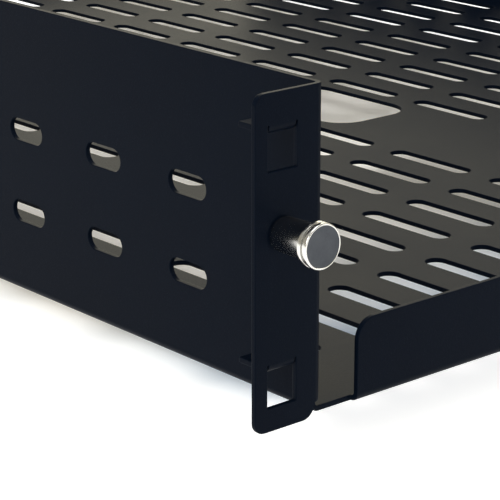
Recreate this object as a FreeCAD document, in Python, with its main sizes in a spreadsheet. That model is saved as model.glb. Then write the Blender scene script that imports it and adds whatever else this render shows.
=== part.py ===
import FreeCAD, Part

# Cantilever rack shelf, two rack units high, held by its front ears alone.
#
# One folded steel sheet makes the slotted floor, both side walls, the two ears and the front and
# rear lips.  Each ear carries two hooks lanced out of its own sheet, which drop into the square
# holes of a rack post, and one spring plunger whose pin locks the shelf against lifting.
#
# Frame, in millimetres: X across the rack, Y from front to back, Z up.  The origin is at
# mid-width, in the plane of the ears' back faces, level with the underside of the floor.

import math
import os

import Sketcher

SIZES = {
    # Rack post that the shelf hooks on to
    "rack_hole_spacing": 465.1,  # between the left and right columns of square holes
    "rack_hole_width": 9.5,  # side of one square hole
    # Folded sheet
    "sheet_thickness": 1.5,
    "bend_inner_radius": 1.0,
    "bend_relief": 0.8,  # slit that parts two bends meeting at a corner
    "overall_width": 482.6,  # over both ears
    "body_width": 441.0,  # over both side walls
    "body_depth": 542.0,  # ears' front faces to rear edge
    "shelf_height": 86.0,
    # Ears
    "ear_corner_radius": 3.0,
    "ear_foot_radius": 4.0,  # rounds an ear's inner bottom corner, up to where its bend begins
    # Front and rear lips
    "lip_height": 22.5,
    "lip_inset": 13.7,  # from a wall's outer face to the lip's end
    "lip_corner_radius": 6.0,
    # Ventilation slots in the floor
    "floor_slot_width": 7.2,
    "floor_slot_length": 37.5,
    "floor_slot_gap": 11.5,  # web between one row and the next
    "floor_column_pitch": 20.2,
    "floor_end_margin": 25.0,  # least plain floor at the front and the rear
    "floor_side_margin": 15.0,  # least plain floor beside a wall's bend
    # Cable opening in the plain strip along the middle of the floor
    "cable_opening_width": 40.0,
    "cable_opening_length": 60.0,
    "cable_opening_radius": 12.0,
    "cable_opening_advance": 34.0,  # forward of mid-depth
    # Slots in the side walls
    "wall_slot_height": 6.5,
    "wall_slot_length": 15.5,
    "wall_slot_pitch": 36.6,
    "wall_row_height": 25.0,  # lower row's centre line above the floor's underside
    "wall_row_pitch": 24.5,
    "wall_end_margin": 40.0,  # least plain wall at the front and the rear
    # Hooks lanced from the ears
    "hook_side_play": 0.45,  # each side of a hook in its square hole
    "hook_lance_gap": 0.4,  # each side of a hook in its own window
    "hook_window_height": 11.6,
    "hook_height": 15.3,  # lower hook's underside above the floor's underside
    "hook_spacing": 60.325,  # lower hook to upper hook: three holes and a unit line
    # Spring plunger
    "plunger_height": 50.7,  # pin axis above the floor's underside
    "pin_diameter": 5.0,
    "pin_reach": 4.0,  # nose past the ear's back face when locked
    "nose_length": 4.8,
    "stem_diameter": 2.5,
    "sliding_clearance": 0.05,  # radial, pin in barrel
    "barrel_diameter": 7.6,
    "barrel_shank_diameter": 6.4,  # pressed into the ear
    "barrel_length": 7.0,  # ahead of the ear
    "barrel_front_wall": 1.2,
    "spring_wire": 0.45,
    "spring_diameter": 3.8,  # mean
    "spring_turns": 3.5,
    "spring_end_play": 0.05,
    "knob_diameter": 11.5,
    "knob_stand_off": 14.5,  # knob's face ahead of the ear
    "knob_front_disc": 1.3,
    "knob_groove": 0.6,
    "knob_groove_depth": 0.7,
    "knob_rear_disc": 1.2,
    "knob_rim_chamfer": 0.3,
    "knob_neck_diameter": 9.4,  # behind the rear disc
    "knob_skirt_clearance": 0.15,  # radial, around the barrel
    "knob_skirt_gap": 0.5,  # open end to the ear
    "stem_grip": 4.0,  # stem inside the knob
}

SHEET_NAME = "sizes"


class Dim:
    """A size that carries both its value and the spreadsheet expression that gives it."""

    def __init__(self, value, text):
        self.value = value
        self.text = text

    def __add__(self, other):
        other = as_dim(other)
        return Dim(self.value + other.value, f"({self.text} + {other.text})")

    def __radd__(self, other):
        return as_dim(other) + self

    def __sub__(self, other):
        other = as_dim(other)
        return Dim(self.value - other.value, f"({self.text} - {other.text})")

    def __rsub__(self, other):
        return as_dim(other) - self

    def __mul__(self, other):
        other = as_dim(other)
        return Dim(self.value * other.value, f"({self.text} * {other.text})")

    def __rmul__(self, other):
        return as_dim(other) * self

    def __truediv__(self, other):
        other = as_dim(other)
        return Dim(self.value / other.value, f"({self.text} / {other.text})")

    def __neg__(self):
        return Dim(-self.value, f"(0 - {self.text})")

    def whole(self):
        """The largest whole number not above this size."""
        return Dim(math.floor(self.value), f"floor({self.text})")


def as_dim(value):
    """Wrap a plain number so that it can stand in an expression."""
    return value if isinstance(value, Dim) else Dim(value, repr(value))


def write_sheet(doc):
    """Put every driving size in the spreadsheet under its own alias."""
    sheet = doc.addObject("Spreadsheet::Sheet", SHEET_NAME)
    for row, (alias, value) in enumerate(SIZES.items(), start=1):
        sheet.set(f"A{row}", alias.replace("_", " "))
        sheet.set(f"B{row}", str(value))
        sheet.setAlias(f"B{row}", alias)
    doc.recompute()


def size(alias):
    """A driving size by its alias."""
    return Dim(SIZES[alias], f"{SHEET_NAME}.{alias}")


# ---------------------------------------------------------------- sketching helpers


def datum(body, role):
    """One of a body's own origin planes or axes."""
    return next(item for item in body.Origin.OriginFeatures if item.Role == role)


class Outline:
    """A sketch of closed outlines whose corners are all tied to the sizes."""

    def __init__(self, body, name, plane, lift=None):
        self.sketch = body.newObject("Sketcher::SketchObject", name)
        self.sketch.AttachmentSupport = (datum(body, plane), [""])
        self.sketch.MapMode = "FlatFace"
        if lift is not None:
            self.sketch.setExpression("AttachmentOffset.Base.z", lift.text)

    def tie(self, kind, edge, end, target):
        """Hold one end of an edge at a distance from the sketch's origin."""
        target = as_dim(target)
        index = self.sketch.addConstraint(
            Sketcher.Constraint(kind, -1, 1, edge, end, float(target.value))
        )
        self.sketch.setExpression(f"Constraints[{index}]", target.text)

    def loop(self, start, steps):
        """Draw a closed outline.

        Each step is (x, y) for a straight edge to that corner, or (x, y, radius, side) for an
        arc to it, where side is 1 if the arc's centre lies to the left of its chord, else -1.
        The last step returns to the start.
        """
        edges = []
        here = start
        for step in steps:
            there = (step[0], step[1])
            if len(step) == 2:
                edges.append(self.line(here, there))
            else:
                edges.append(self.arc(here, there, step[2], step[3]))
            here = there
        for number, (edge, first, last) in enumerate(edges):
            after, after_first, _ = edges[(number + 1) % len(edges)]
            self.sketch.addConstraint(
                Sketcher.Constraint("Coincident", edge, last, after, after_first)
            )
        corners = [start] + [(step[0], step[1]) for step in steps[:-1]]
        for (edge, first, _), (across, up) in zip(edges, corners):
            self.tie("DistanceX", edge, first, across)
            self.tie("DistanceY", edge, first, up)
        return self

    def line(self, here, there):
        edge = self.sketch.addGeometry(Part.LineSegment(point(here), point(there)))
        return edge, 1, 2

    def arc(self, here, there, radius, side):
        radius = as_dim(radius)
        chord = point(there) - point(here)
        half = chord.Length / 2
        left = FreeCAD.Vector(-chord.y, chord.x, 0).normalize()
        height = math.sqrt(radius.value**2 - half**2)
        centre = point(here) + chord / 2 + left * (side * height)
        angles = [math.atan2(end.y - centre.y, end.x - centre.x) for end in (point(here), point(there))]
        if side < 0:
            angles.reverse()
        circle = Part.Circle(centre, FreeCAD.Vector(0, 0, 1), radius.value)
        edge = self.sketch.addGeometry(Part.ArcOfCircle(circle, angles[0], angles[1]))
        index = self.sketch.addConstraint(Sketcher.Constraint("Radius", edge, radius.value))
        self.sketch.setExpression(f"Constraints[{index}]", radius.text)
        return (edge, 1, 2) if side > 0 else (edge, 2, 1)

    def rectangle(self, left, right, low, high):
        return self.loop((left, low), [(right, low), (right, high), (left, high), (left, low)])

    def circle(self, across, up, radius):
        centre = FreeCAD.Vector(as_dim(across).value, as_dim(up).value, 0)
        edge = self.sketch.addGeometry(
            Part.Circle(centre, FreeCAD.Vector(0, 0, 1), as_dim(radius).value)
        )
        index = self.sketch.addConstraint(Sketcher.Constraint("Radius", edge, as_dim(radius).value))
        self.sketch.setExpression(f"Constraints[{index}]", as_dim(radius).text)
        self.tie("DistanceX", edge, 3, across)
        self.tie("DistanceY", edge, 3, up)
        return self

    def slot(self, across, up, width, length):
        """A slot that is long in the sketch's second direction, with eased ends."""
        ease = width * round(1 - math.sqrt(0.5), 4)
        left = across - width / 2
        right = across + width / 2
        low = up - length / 2
        high = up + length / 2
        return self.loop(
            (left + ease, low),
            [
                (right - ease, low),
                (right, low + ease),
                (right, high - ease),
                (right - ease, high),
                (left + ease, high),
                (left, high - ease),
                (left, low + ease),
                (left + ease, low),
            ],
        )


def point(corner):
    return FreeCAD.Vector(as_dim(corner[0]).value, as_dim(corner[1]).value, 0)


def pad(body, outline, length, away=False, both_ways=False):
    """Extrude an outline along its plane's normal, against it, or half each way."""
    feature = body.newObject("PartDesign::Pad", "pad_" + outline.sketch.Name)
    feature.Profile = outline.sketch
    feature.setExpression("Length", length.text)
    feature.Reversed = away
    feature.SideType = "Symmetric" if both_ways else "One side"
    outline.sketch.Visibility = False
    return feature


def pocket(body, outline, length, away=False, both_ways=False):
    """Cut an outline: its own cut runs against the plane's normal unless away is set."""
    body.Document.recompute()
    before = body.Shape.Volume
    feature = body.newObject("PartDesign::Pocket", "cut_" + outline.sketch.Name)
    feature.Profile = outline.sketch
    feature.setExpression("Length", length.text)
    feature.Reversed = away
    feature.SideType = "Symmetric" if both_ways else "One side"
    outline.sketch.Visibility = False
    body.Document.recompute()
    if body.Shape.Volume >= before:
        raise RuntimeError(f"{feature.Name} removed nothing")
    return feature


def mirror(body, features, plane, name):
    feature = body.newObject("PartDesign::Mirrored", name)
    feature.Originals = features
    feature.MirrorPlane = (plane, [""])
    body.Tip = feature
    return feature


def row(body, feature, axis, spacing, count, name):
    """Repeat a feature along one axis."""
    pattern = body.newObject("PartDesign::LinearPattern", name)
    pattern.Originals = [feature]
    pattern.Direction = (datum(body, axis), [""])
    pattern.Mode = "Spacing"
    pattern.setExpression("Offset", spacing.text)
    pattern.setExpression("Occurrences", count.text)
    body.Tip = pattern
    return pattern


def multi(body, features, steps, name):
    """Repeat features through several transformations in turn."""
    pattern = body.newObject("PartDesign::MultiTransform", name)
    pattern.Originals = features
    pattern.Transformations = steps
    body.Tip = pattern
    return pattern


def row_step(body, axis, spacing, count, name):
    """One linear repeat for use inside a MultiTransform."""
    step = body.newObject("PartDesign::LinearPattern", name)
    step.Direction = (datum(body, axis), [""])
    step.Mode = "Spacing"
    step.setExpression("Offset", spacing.text)
    step.setExpression("Occurrences", count.text)
    return step


def mirror_step(body, plane, name):
    """One reflection for use inside a MultiTransform."""
    step = body.newObject("PartDesign::Mirrored", name)
    step.MirrorPlane = (plane, [""])
    return step


# ---------------------------------------------------------------- the folded shelf


class Shelf:
    """The folded sheet: floor, walls, ears, lips and hooks in one piece."""

    def __init__(self, doc):
        self.body = doc.addObject("PartDesign::Body", "shelf_body")
        self.body.Label = "shelf_body"
        self.thick = size("sheet_thickness")
        self.inner = size("bend_inner_radius")
        self.outer = self.inner + self.thick
        self.half = size("body_width") / 2
        self.height = size("shelf_height")
        self.front = -self.thick
        self.rear = size("body_depth") - self.thick
        self.wall_start = self.inner + size("bend_relief")
        self.fold_end = self.front + self.outer
        self.floor_rear = self.rear - self.outer
        self.post = size("rack_hole_spacing") / 2
        self.middle = datum(self.body, "YZ_Plane")

    def build(self):
        self.ears()
        self.channel()
        self.lips()
        self.hooks()
        self.plunger_seats()
        self.cable_opening()
        self.wall_slots()
        self.floor_slots()

    def ears(self):
        """Each ear is bent outward from the front end of its side wall."""
        tip = -size("overall_width") / 2
        bend = -self.half - self.inner
        inside = self.thick - self.half
        plan = Outline(self.body, "ear_plan", "XY_Plane")
        plan.loop(
            (tip, self.front),
            [
                (bend, self.front),
                (inside, self.inner, self.outer, 1),
                (inside, self.wall_start),
                (-self.half, self.wall_start),
                (-self.half, self.inner),
                (bend, 0, self.inner, -1),
                (tip, 0),
                (tip, self.front),
            ],
        )
        ear = pad(self.body, plan, self.height)

        corner = size("ear_corner_radius")
        beyond = self.thick
        trim = Outline(self.body, "ear_corners", "XZ_Plane")
        for level, inward in ((as_dim(0), 1), (self.height, -1)):
            turn = level + corner * inward
            out = level - beyond * inward
            trim.loop(
                (tip + corner, level),
                [
                    (tip, turn, corner, -inward),
                    (tip - beyond, turn),
                    (tip - beyond, out),
                    (tip + corner, out),
                    (tip + corner, level),
                ],
            )
        corners = pocket(self.body, trim, 2 * self.thick, both_ways=True)

        foot = size("ear_foot_radius")
        under = Outline(self.body, "ear_foot", "XZ_Plane")
        under.loop(
            (bend - foot, as_dim(0)),
            [
                (bend, foot, foot, 1),
                (inside + beyond, foot),
                (inside + beyond, -beyond),
                (bend - foot, -beyond),
                (bend - foot, as_dim(0)),
            ],
        )
        reach = 2 * (self.wall_start + self.thick)
        foot_cut = pocket(self.body, under, reach, both_ways=True)
        mirror(self.body, [ear, corners, foot_cut], self.middle, "right_ear")

    def channel_outline(self, name, top, start):
        """Floor with both upturned walls, up to a given height, drawn where they start."""
        outline = Outline(self.body, name, "XZ_Plane", lift=-start)
        edge = self.half - self.outer
        steps = [
            (-edge, 0, self.outer, 1),
            (edge, 0),
            (self.half, self.outer, self.outer, 1),
        ]
        if top is not self.outer:
            steps.append((self.half, top))
        steps.append((self.half - self.thick, top))
        if top is not self.outer:
            steps.append((self.half - self.thick, self.outer))
        steps += [
            (edge, self.thick, self.inner, -1),
            (-edge, self.thick),
            (self.thick - self.half, self.outer, self.inner, -1),
        ]
        if top is not self.outer:
            steps.append((self.thick - self.half, top))
        steps.append((-self.half, top))
        if top is not self.outer:
            steps.append((-self.half, self.outer))
        return outline.loop((-self.half, self.outer), steps)

    def channel(self):
        """The floor and walls; only the floor runs forward, under the ears' bends."""
        walls = self.channel_outline("channel", self.height, self.wall_start)
        pad(self.body, walls, self.floor_rear - self.wall_start, away=True)
        nose = self.channel_outline("floor_nose", self.outer, self.fold_end)
        pad(self.body, nose, self.wall_start - self.fold_end, away=True)

    def lips(self):
        """Upturned lips at the front and the rear, set in from the walls."""
        end = self.half - size("lip_inset")
        top = size("lip_height")
        round_off = size("lip_corner_radius")
        fold = Outline(self.body, "lip_fold", "YZ_Plane")
        fold.loop(
            (self.fold_end, 0),
            [
                (self.fold_end, self.thick),
                (0, self.outer, self.inner, -1),
                (self.front, self.outer),
                (self.fold_end, 0, self.outer, 1),
            ],
        )
        fold_pad = pad(self.body, fold, 2 * end, both_ways=True)
        face = Outline(self.body, "lip_face", "XZ_Plane")
        face.loop(
            (-end, self.outer),
            [
                (end, self.outer),
                (end, top - round_off),
                (end - round_off, top, round_off, 1),
                (round_off - end, top),
                (-end, top - round_off, round_off, 1),
                (-end, self.outer),
            ],
        )
        face_pad = pad(self.body, face, self.thick)
        mid_depth = self.body.newObject("PartDesign::Plane", "mid_depth")
        mid_depth.AttachmentSupport = (datum(self.body, "XZ_Plane"), [""])
        mid_depth.MapMode = "FlatFace"
        mid_depth.setExpression("AttachmentOffset.Base.z", (-(self.rear + self.front) / 2).text)
        mid_depth.Visibility = False
        mirror(self.body, [fold_pad, face_pad], mid_depth, "rear_lip")

    def wall_slots(self):
        """Two rows of short slots through both walls."""
        length = size("wall_slot_length")
        pitch = size("wall_slot_pitch")
        room = size("body_depth") - 2 * size("wall_end_margin") - length
        count = (room / pitch).whole() + 1
        first = self.front + (size("body_depth") - (count - 1) * pitch) / 2
        outline = Outline(self.body, "wall_slot", "YZ_Plane")
        height = size("wall_slot_height")
        ease = height * round(1 - math.sqrt(0.5), 4)
        left = first - length / 2
        right = first + length / 2
        low = size("wall_row_height") - height / 2
        high = size("wall_row_height") + height / 2
        outline.loop(
            (left + ease, low),
            [
                (right - ease, low),
                (right, low + ease),
                (right, high - ease),
                (right - ease, high),
                (left + ease, high),
                (left, high - ease),
                (left, low + ease),
                (left + ease, low),
            ],
        )
        cut = pocket(self.body, outline, size("overall_width"), both_ways=True)
        rows = as_dim(2)
        steps = [
            row_step(self.body, "Y_Axis", pitch, count, "wall_slot_columns"),
            row_step(self.body, "Z_Axis", size("wall_row_pitch"), rows, "wall_slot_rows"),
        ]
        multi(self.body, [cut], steps, "wall_slot_pattern")

    def floor_slots(self):
        """Rows of long slots on both sides of a plain middle strip two columns wide."""
        width = size("floor_slot_width")
        length = size("floor_slot_length")
        across = size("floor_column_pitch")
        along = length + size("floor_slot_gap")
        first_column = across * 1.5
        side_room = self.half - self.outer - size("floor_side_margin") - width / 2
        columns = ((side_room - first_column) / across).whole() + 1
        end_room = size("body_depth") - 2 * size("floor_end_margin") + size("floor_slot_gap")
        rows = (end_room / along).whole()
        first_row = self.front + (size("body_depth") - (rows - 1) * along) / 2
        outline = Outline(self.body, "floor_slot", "XY_Plane")
        outline.slot(first_column, first_row, width, length)
        cut = pocket(self.body, outline, 2 * self.outer, both_ways=True)
        steps = [
            row_step(self.body, "X_Axis", across, columns, "floor_slot_columns"),
            row_step(self.body, "Y_Axis", along, rows, "floor_slot_rows"),
            mirror_step(self.body, self.middle, "floor_slot_sides"),
        ]
        multi(self.body, [cut], steps, "floor_slot_pattern")

    def cable_opening(self):
        """A rounded opening in the plain middle strip."""
        half = size("cable_opening_width") / 2
        length = size("cable_opening_length")
        bend = size("cable_opening_radius")
        centre = (self.rear + self.front) / 2 - size("cable_opening_advance")
        low = centre - length / 2
        high = centre + length / 2
        outline = Outline(self.body, "cable_opening", "XY_Plane")
        outline.loop(
            (bend - half, low),
            [
                (half - bend, low),
                (half, low + bend, bend, 1),
                (half, high - bend),
                (half - bend, high, bend, 1),
                (bend - half, high),
                (-half, high - bend, bend, 1),
                (-half, low + bend),
                (bend - half, low, bend, 1),
            ],
        )
        pocket(self.body, outline, 2 * self.outer, both_ways=True)

    def hooks(self):
        """Hooks lanced from each ear, bent back at the top of the window each one leaves."""
        width = size("rack_hole_width") - 2 * size("hook_side_play")
        seat = size("hook_height")
        window_top = seat + self.outer
        window_low = window_top - size("hook_window_height")
        side = width / 2 + size("hook_lance_gap")
        window = Outline(self.body, "hook_window", "XZ_Plane")
        window.rectangle(-self.post - side, side - self.post, window_low, window_top)
        window_cut = pocket(self.body, window, 2 * self.thick, both_ways=True)

        neutral = self.inner + self.thick / 2
        developed = neutral * round(math.pi / 2, 5)
        tip = self.fold_end + size("hook_window_height") - developed
        hook = Outline(self.body, "hook_side", "YZ_Plane", lift=-self.post)
        hook.loop(
            (self.front, window_top),
            [
                (self.fold_end, seat, self.outer, 1),
                (tip, seat),
                (tip, seat + self.thick),
                (self.fold_end, seat + self.thick),
                (0, window_top, self.inner, -1),
                (self.front, window_top),
            ],
        )
        hook_pad = pad(self.body, hook, width, both_ways=True)
        steps = [
            row_step(self.body, "Z_Axis", size("hook_spacing"), as_dim(2), "hook_levels"),
            mirror_step(self.body, self.middle, "hook_sides"),
        ]
        multi(self.body, [window_cut, hook_pad], steps, "hook_pattern")

    def plunger_seats(self):
        """A round hole through each ear for the barrel's shank."""
        outline = Outline(self.body, "plunger_seat", "XZ_Plane")
        for across in (-self.post, self.post):
            outline.circle(across, size("plunger_height"), size("barrel_shank_diameter") / 2)
        pocket(self.body, outline, 2 * self.thick, both_ways=True)


# ---------------------------------------------------------------- the spring plungers


class Plunger:
    """Barrel, pin, spring and knob on one axis, which lies along Y."""

    def __init__(self, doc, side, across):
        self.doc = doc
        self.side = side
        self.across = across
        self.ear_front = -size("sheet_thickness")
        self.barrel_front = self.ear_front - size("barrel_length")
        self.bore = size("pin_diameter") / 2 + size("sliding_clearance")
        self.stem = size("stem_diameter") / 2
        self.bore_end = self.barrel_front + size("barrel_front_wall")
        self.shoulder = size("pin_reach") - size("nose_length")

    def place(self, item):
        item.setExpression("Placement.Base.x", self.across.text)
        item.setExpression("Placement.Base.z", size("plunger_height").text)

    def turned(self, name, start, steps):
        """A turned piece: radius across, axial position up, revolved about Y."""
        label = f"{self.side}_plunger_{name}"
        body = self.doc.addObject("PartDesign::Body", label)
        body.Label = label
        outline = Outline(body, f"{label}_section", "XY_Plane")
        outline.loop(start, steps)
        feature = body.newObject("PartDesign::Revolution", f"turn_{label}")
        feature.Profile = outline.sketch
        feature.ReferenceAxis = (datum(body, "Y_Axis"), [""])
        feature.Angle = 360
        outline.sketch.Visibility = False
        self.place(body)

    def build(self):
        self.barrel()
        self.pin()
        self.spring()
        self.knob()

    def barrel(self):
        """Bored from the back, with a shank pressed into the ear."""
        outside = size("barrel_diameter") / 2
        shank = size("barrel_shank_diameter") / 2
        stem_hole = self.stem + size("sliding_clearance")
        self.turned(
            "barrel",
            (self.bore, 0),
            [
                (self.bore, self.bore_end),
                (stem_hole, self.bore_end),
                (stem_hole, self.barrel_front),
                (outside, self.barrel_front),
                (outside, self.ear_front),
                (shank, self.ear_front),
                (shank, 0),
                (self.bore, 0),
            ],
        )

    def pin(self):
        """A nose that locks in the rack hole and a stem that carries the knob."""
        nose = size("pin_diameter") / 2
        tip = size("pin_reach")
        lead = nose / 4
        stem_end = self.barrel_front - size("stem_grip")
        self.turned(
            "pin",
            (0, stem_end),
            [
                (self.stem, stem_end),
                (self.stem, self.shoulder),
                (nose, self.shoulder),
                (nose, tip - lead),
                (nose - lead, tip),
                (0, tip),
                (0, stem_end),
            ],
        )

    def spring(self):
        """A coil between the barrel's front wall and the pin's shoulder."""
        wire = size("spring_wire")
        radius = size("spring_diameter") / 2
        low = self.bore_end + wire / 2 + size("spring_end_play")
        high = self.shoulder - wire / 2 - size("spring_end_play")
        label = f"{self.side}_plunger_spring"
        body = self.doc.addObject("PartDesign::Body", label)
        body.Label = label
        section = Outline(body, f"{label}_section", "XY_Plane")
        section.rectangle(radius - wire / 2, radius + wire / 2, low - wire / 2, low + wire / 2)
        coil = body.newObject("PartDesign::AdditiveHelix", f"coil_{label}")
        coil.Profile = section.sketch
        coil.ReferenceAxis = (datum(body, "Y_Axis"), [""])
        coil.Mode = "height-turns-angle"
        coil.setExpression("Height", (high - low).text)
        coil.setExpression("Turns", size("spring_turns").text)
        section.sketch.Visibility = False
        self.place(body)

    def knob(self):
        """Two discs with a groove between them, on a hollow neck that covers the barrel."""
        rim = size("knob_diameter") / 2
        groove = rim - size("knob_groove_depth")
        neck = size("knob_neck_diameter") / 2
        skirt_bore = size("barrel_diameter") / 2 + size("knob_skirt_clearance")
        chamfer = size("knob_rim_chamfer")
        face = self.ear_front - size("knob_stand_off")
        front_disc = face + size("knob_front_disc")
        groove_end = front_disc + size("knob_groove")
        rear_disc = groove_end + size("knob_rear_disc")
        opening = self.ear_front - size("knob_skirt_gap")
        stem_end = self.barrel_front - size("stem_grip")
        self.turned(
            "knob",
            (0, face),
            [
                (rim - chamfer, face),
                (rim, face + chamfer),
                (rim, front_disc),
                (groove, front_disc),
                (groove, groove_end),
                (rim, groove_end),
                (rim, rear_disc),
                (neck, rear_disc),
                (neck, opening),
                (skirt_bore, opening),
                (skirt_bore, self.barrel_front),
                (self.stem, self.barrel_front),
                (self.stem, stem_end),
                (0, stem_end),
                (0, face),
            ],
        )


# ---------------------------------------------------------------- build, check and write


def check(doc):
    """Stop if any feature failed or any piece is empty or broken."""
    for item in doc.Objects:
        if {"Invalid", "Error"} & set(item.State):
            raise RuntimeError(f"{item.Name} failed: {item.State}")
    for body in pieces(doc):
        if body.Shape.isNull() or not body.Shape.isValid():
            raise RuntimeError(f"{body.Label} has no valid shape")
        if len(body.Shape.Solids) != 1:
            raise RuntimeError(f"{body.Label} is {len(body.Shape.Solids)} solids")


def pieces(doc):
    return [item for item in doc.Objects if item.TypeId == "PartDesign::Body"]


def write_steps(doc):
    os.makedirs("parts", exist_ok=True)
    for body in pieces(doc):
        body.Shape.exportStep(f"parts/{body.Label}.step")
        print(f"{body.Label}: {body.Shape.Volume:.1f} mm3, {len(body.Shape.Faces)} faces")


def main():
    doc = FreeCAD.newDocument("cantilever_rack_shelf")
    write_sheet(doc)
    Shelf(doc).build()
    post = size("rack_hole_spacing") / 2
    Plunger(doc, "left", -post).build()
    Plunger(doc, "right", post).build()
    doc.recompute()
    check(doc)
    write_steps(doc)


main()
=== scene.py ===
"""Looks of the cantilever rack shelf: one folded, powder-coated sheet and two sprung lock plungers.

The sheet is made as a maker would: flat panels are filled and punched, joined by their bends into
one skin, thickened and given softly rounded edges.  The plungers are turned and coiled round the
axes that the frame gives.
"""

import logging
import math
from dataclasses import dataclass, field
from enum import Enum
from typing import Any

import bmesh
import bpy
from mathutils import Matrix, Vector


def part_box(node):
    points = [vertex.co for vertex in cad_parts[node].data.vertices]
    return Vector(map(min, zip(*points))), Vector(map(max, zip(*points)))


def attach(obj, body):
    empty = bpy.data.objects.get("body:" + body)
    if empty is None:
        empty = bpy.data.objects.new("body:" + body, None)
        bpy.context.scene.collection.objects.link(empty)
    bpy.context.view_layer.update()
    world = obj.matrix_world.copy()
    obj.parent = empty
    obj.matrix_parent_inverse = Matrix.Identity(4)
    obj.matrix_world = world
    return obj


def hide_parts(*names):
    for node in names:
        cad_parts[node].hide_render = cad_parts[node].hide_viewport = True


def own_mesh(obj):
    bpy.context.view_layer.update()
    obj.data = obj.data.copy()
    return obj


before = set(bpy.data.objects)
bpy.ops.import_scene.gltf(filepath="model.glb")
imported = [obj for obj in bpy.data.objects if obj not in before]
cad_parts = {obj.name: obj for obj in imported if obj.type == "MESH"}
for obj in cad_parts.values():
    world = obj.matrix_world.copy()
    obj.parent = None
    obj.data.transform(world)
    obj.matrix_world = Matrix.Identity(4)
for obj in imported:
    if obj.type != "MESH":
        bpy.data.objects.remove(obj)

MM = 0.001

log = logging.getLogger("rack_shelf")


# ---------------------------------------------------------------- node graphs


class Wire:
    """One node output that can be used in arithmetic."""

    def __init__(self, graph: "NodeGraph", socket: bpy.types.NodeSocket) -> None:
        """Keep the socket and the graph that new Math nodes go into."""
        self.graph = graph
        self.socket = socket

    def __add__(self, other: "Wire | float") -> "Wire":
        """Sum."""
        return self.graph.math("ADD", self, other)

    def __radd__(self, other: float) -> "Wire":
        """Sum with a number on the left."""
        return self.graph.math("ADD", other, self)

    def __sub__(self, other: "Wire | float") -> "Wire":
        """Difference."""
        return self.graph.math("SUBTRACT", self, other)

    def __rsub__(self, other: float) -> "Wire":
        """Difference from a number on the left."""
        return self.graph.math("SUBTRACT", other, self)

    def __mul__(self, other: "Wire | float") -> "Wire":
        """Product."""
        return self.graph.math("MULTIPLY", self, other)

    def __rmul__(self, other: float) -> "Wire":
        """Product with a number on the left."""
        return self.graph.math("MULTIPLY", other, self)

    def __truediv__(self, other: "Wire | float") -> "Wire":
        """Quotient."""
        return self.graph.math("DIVIDE", self, other)

    def __pow__(self, other: "Wire | float") -> "Wire":
        """Power."""
        return self.graph.math("POWER", self, other)

    def __abs__(self) -> "Wire":
        """Absolute value."""
        return self.graph.math("ABSOLUTE", self)

    def above(self, level: "Wire | float") -> "Wire":
        """1 where this is greater than the level, else 0."""
        return self.graph.math("GREATER_THAN", self, level)

    def below(self, level: "Wire | float") -> "Wire":
        """1 where this is less than the level, else 0."""
        return self.graph.math("LESS_THAN", self, level)


class NodeGraph:
    """A shader or geometry node tree, filled through one method."""

    def __init__(self, tree: bpy.types.NodeTree) -> None:
        """Start from an empty tree."""
        self.tree = tree
        tree.nodes.clear()

    def node(
        self,
        kind: str,
        settings: dict[str, Any] | None = None,
        inputs: dict[str | int, Any] | None = None,
        output: str | int = 0,
    ) -> Wire:
        """Add a node.

        Args:
            kind: The node's type name.
            settings: Properties of the node, and a ramp's stops under "stops".
            inputs: Values or wires by socket name or number.
            output: The output that the returned wire stands for.

        Returns:
            A wire from the chosen output, or from the node's first input if it has no output.
        """
        made = self.tree.nodes.new(kind)
        for name, value in (settings or {}).items():
            if name == "stops":
                self._set_stops(made.color_ramp, value)
            else:
                setattr(made, name, value)
        for key, value in (inputs or {}).items():
            for item in value if isinstance(value, list) else [value]:
                self._connect(made.inputs[key], item)
        sockets = made.outputs if len(made.outputs) else made.inputs
        return Wire(self, sockets[output])

    def _connect(self, socket: bpy.types.NodeSocket, value: Any) -> None:
        """Link a wire to a socket, or set the socket's value."""
        if isinstance(value, Wire):
            self.tree.links.new(value.socket, socket)
        else:
            socket.default_value = value

    @staticmethod
    def _set_stops(ramp: bpy.types.ColorRamp, stops: list[tuple[float, tuple[float, ...]]]) -> None:
        """Give a colour ramp its stops."""
        while len(ramp.elements) < len(stops):
            ramp.elements.new(1.0)
        for element, (position, colour) in zip(ramp.elements, stops):
            element.position = position
            element.color = (*colour, 1.0)

    def math(self, operation: str, *values: Any) -> Wire:
        """Add one Math node over numbers or wires."""
        return self.node("ShaderNodeMath", {"operation": operation}, dict(enumerate(values)))


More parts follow.
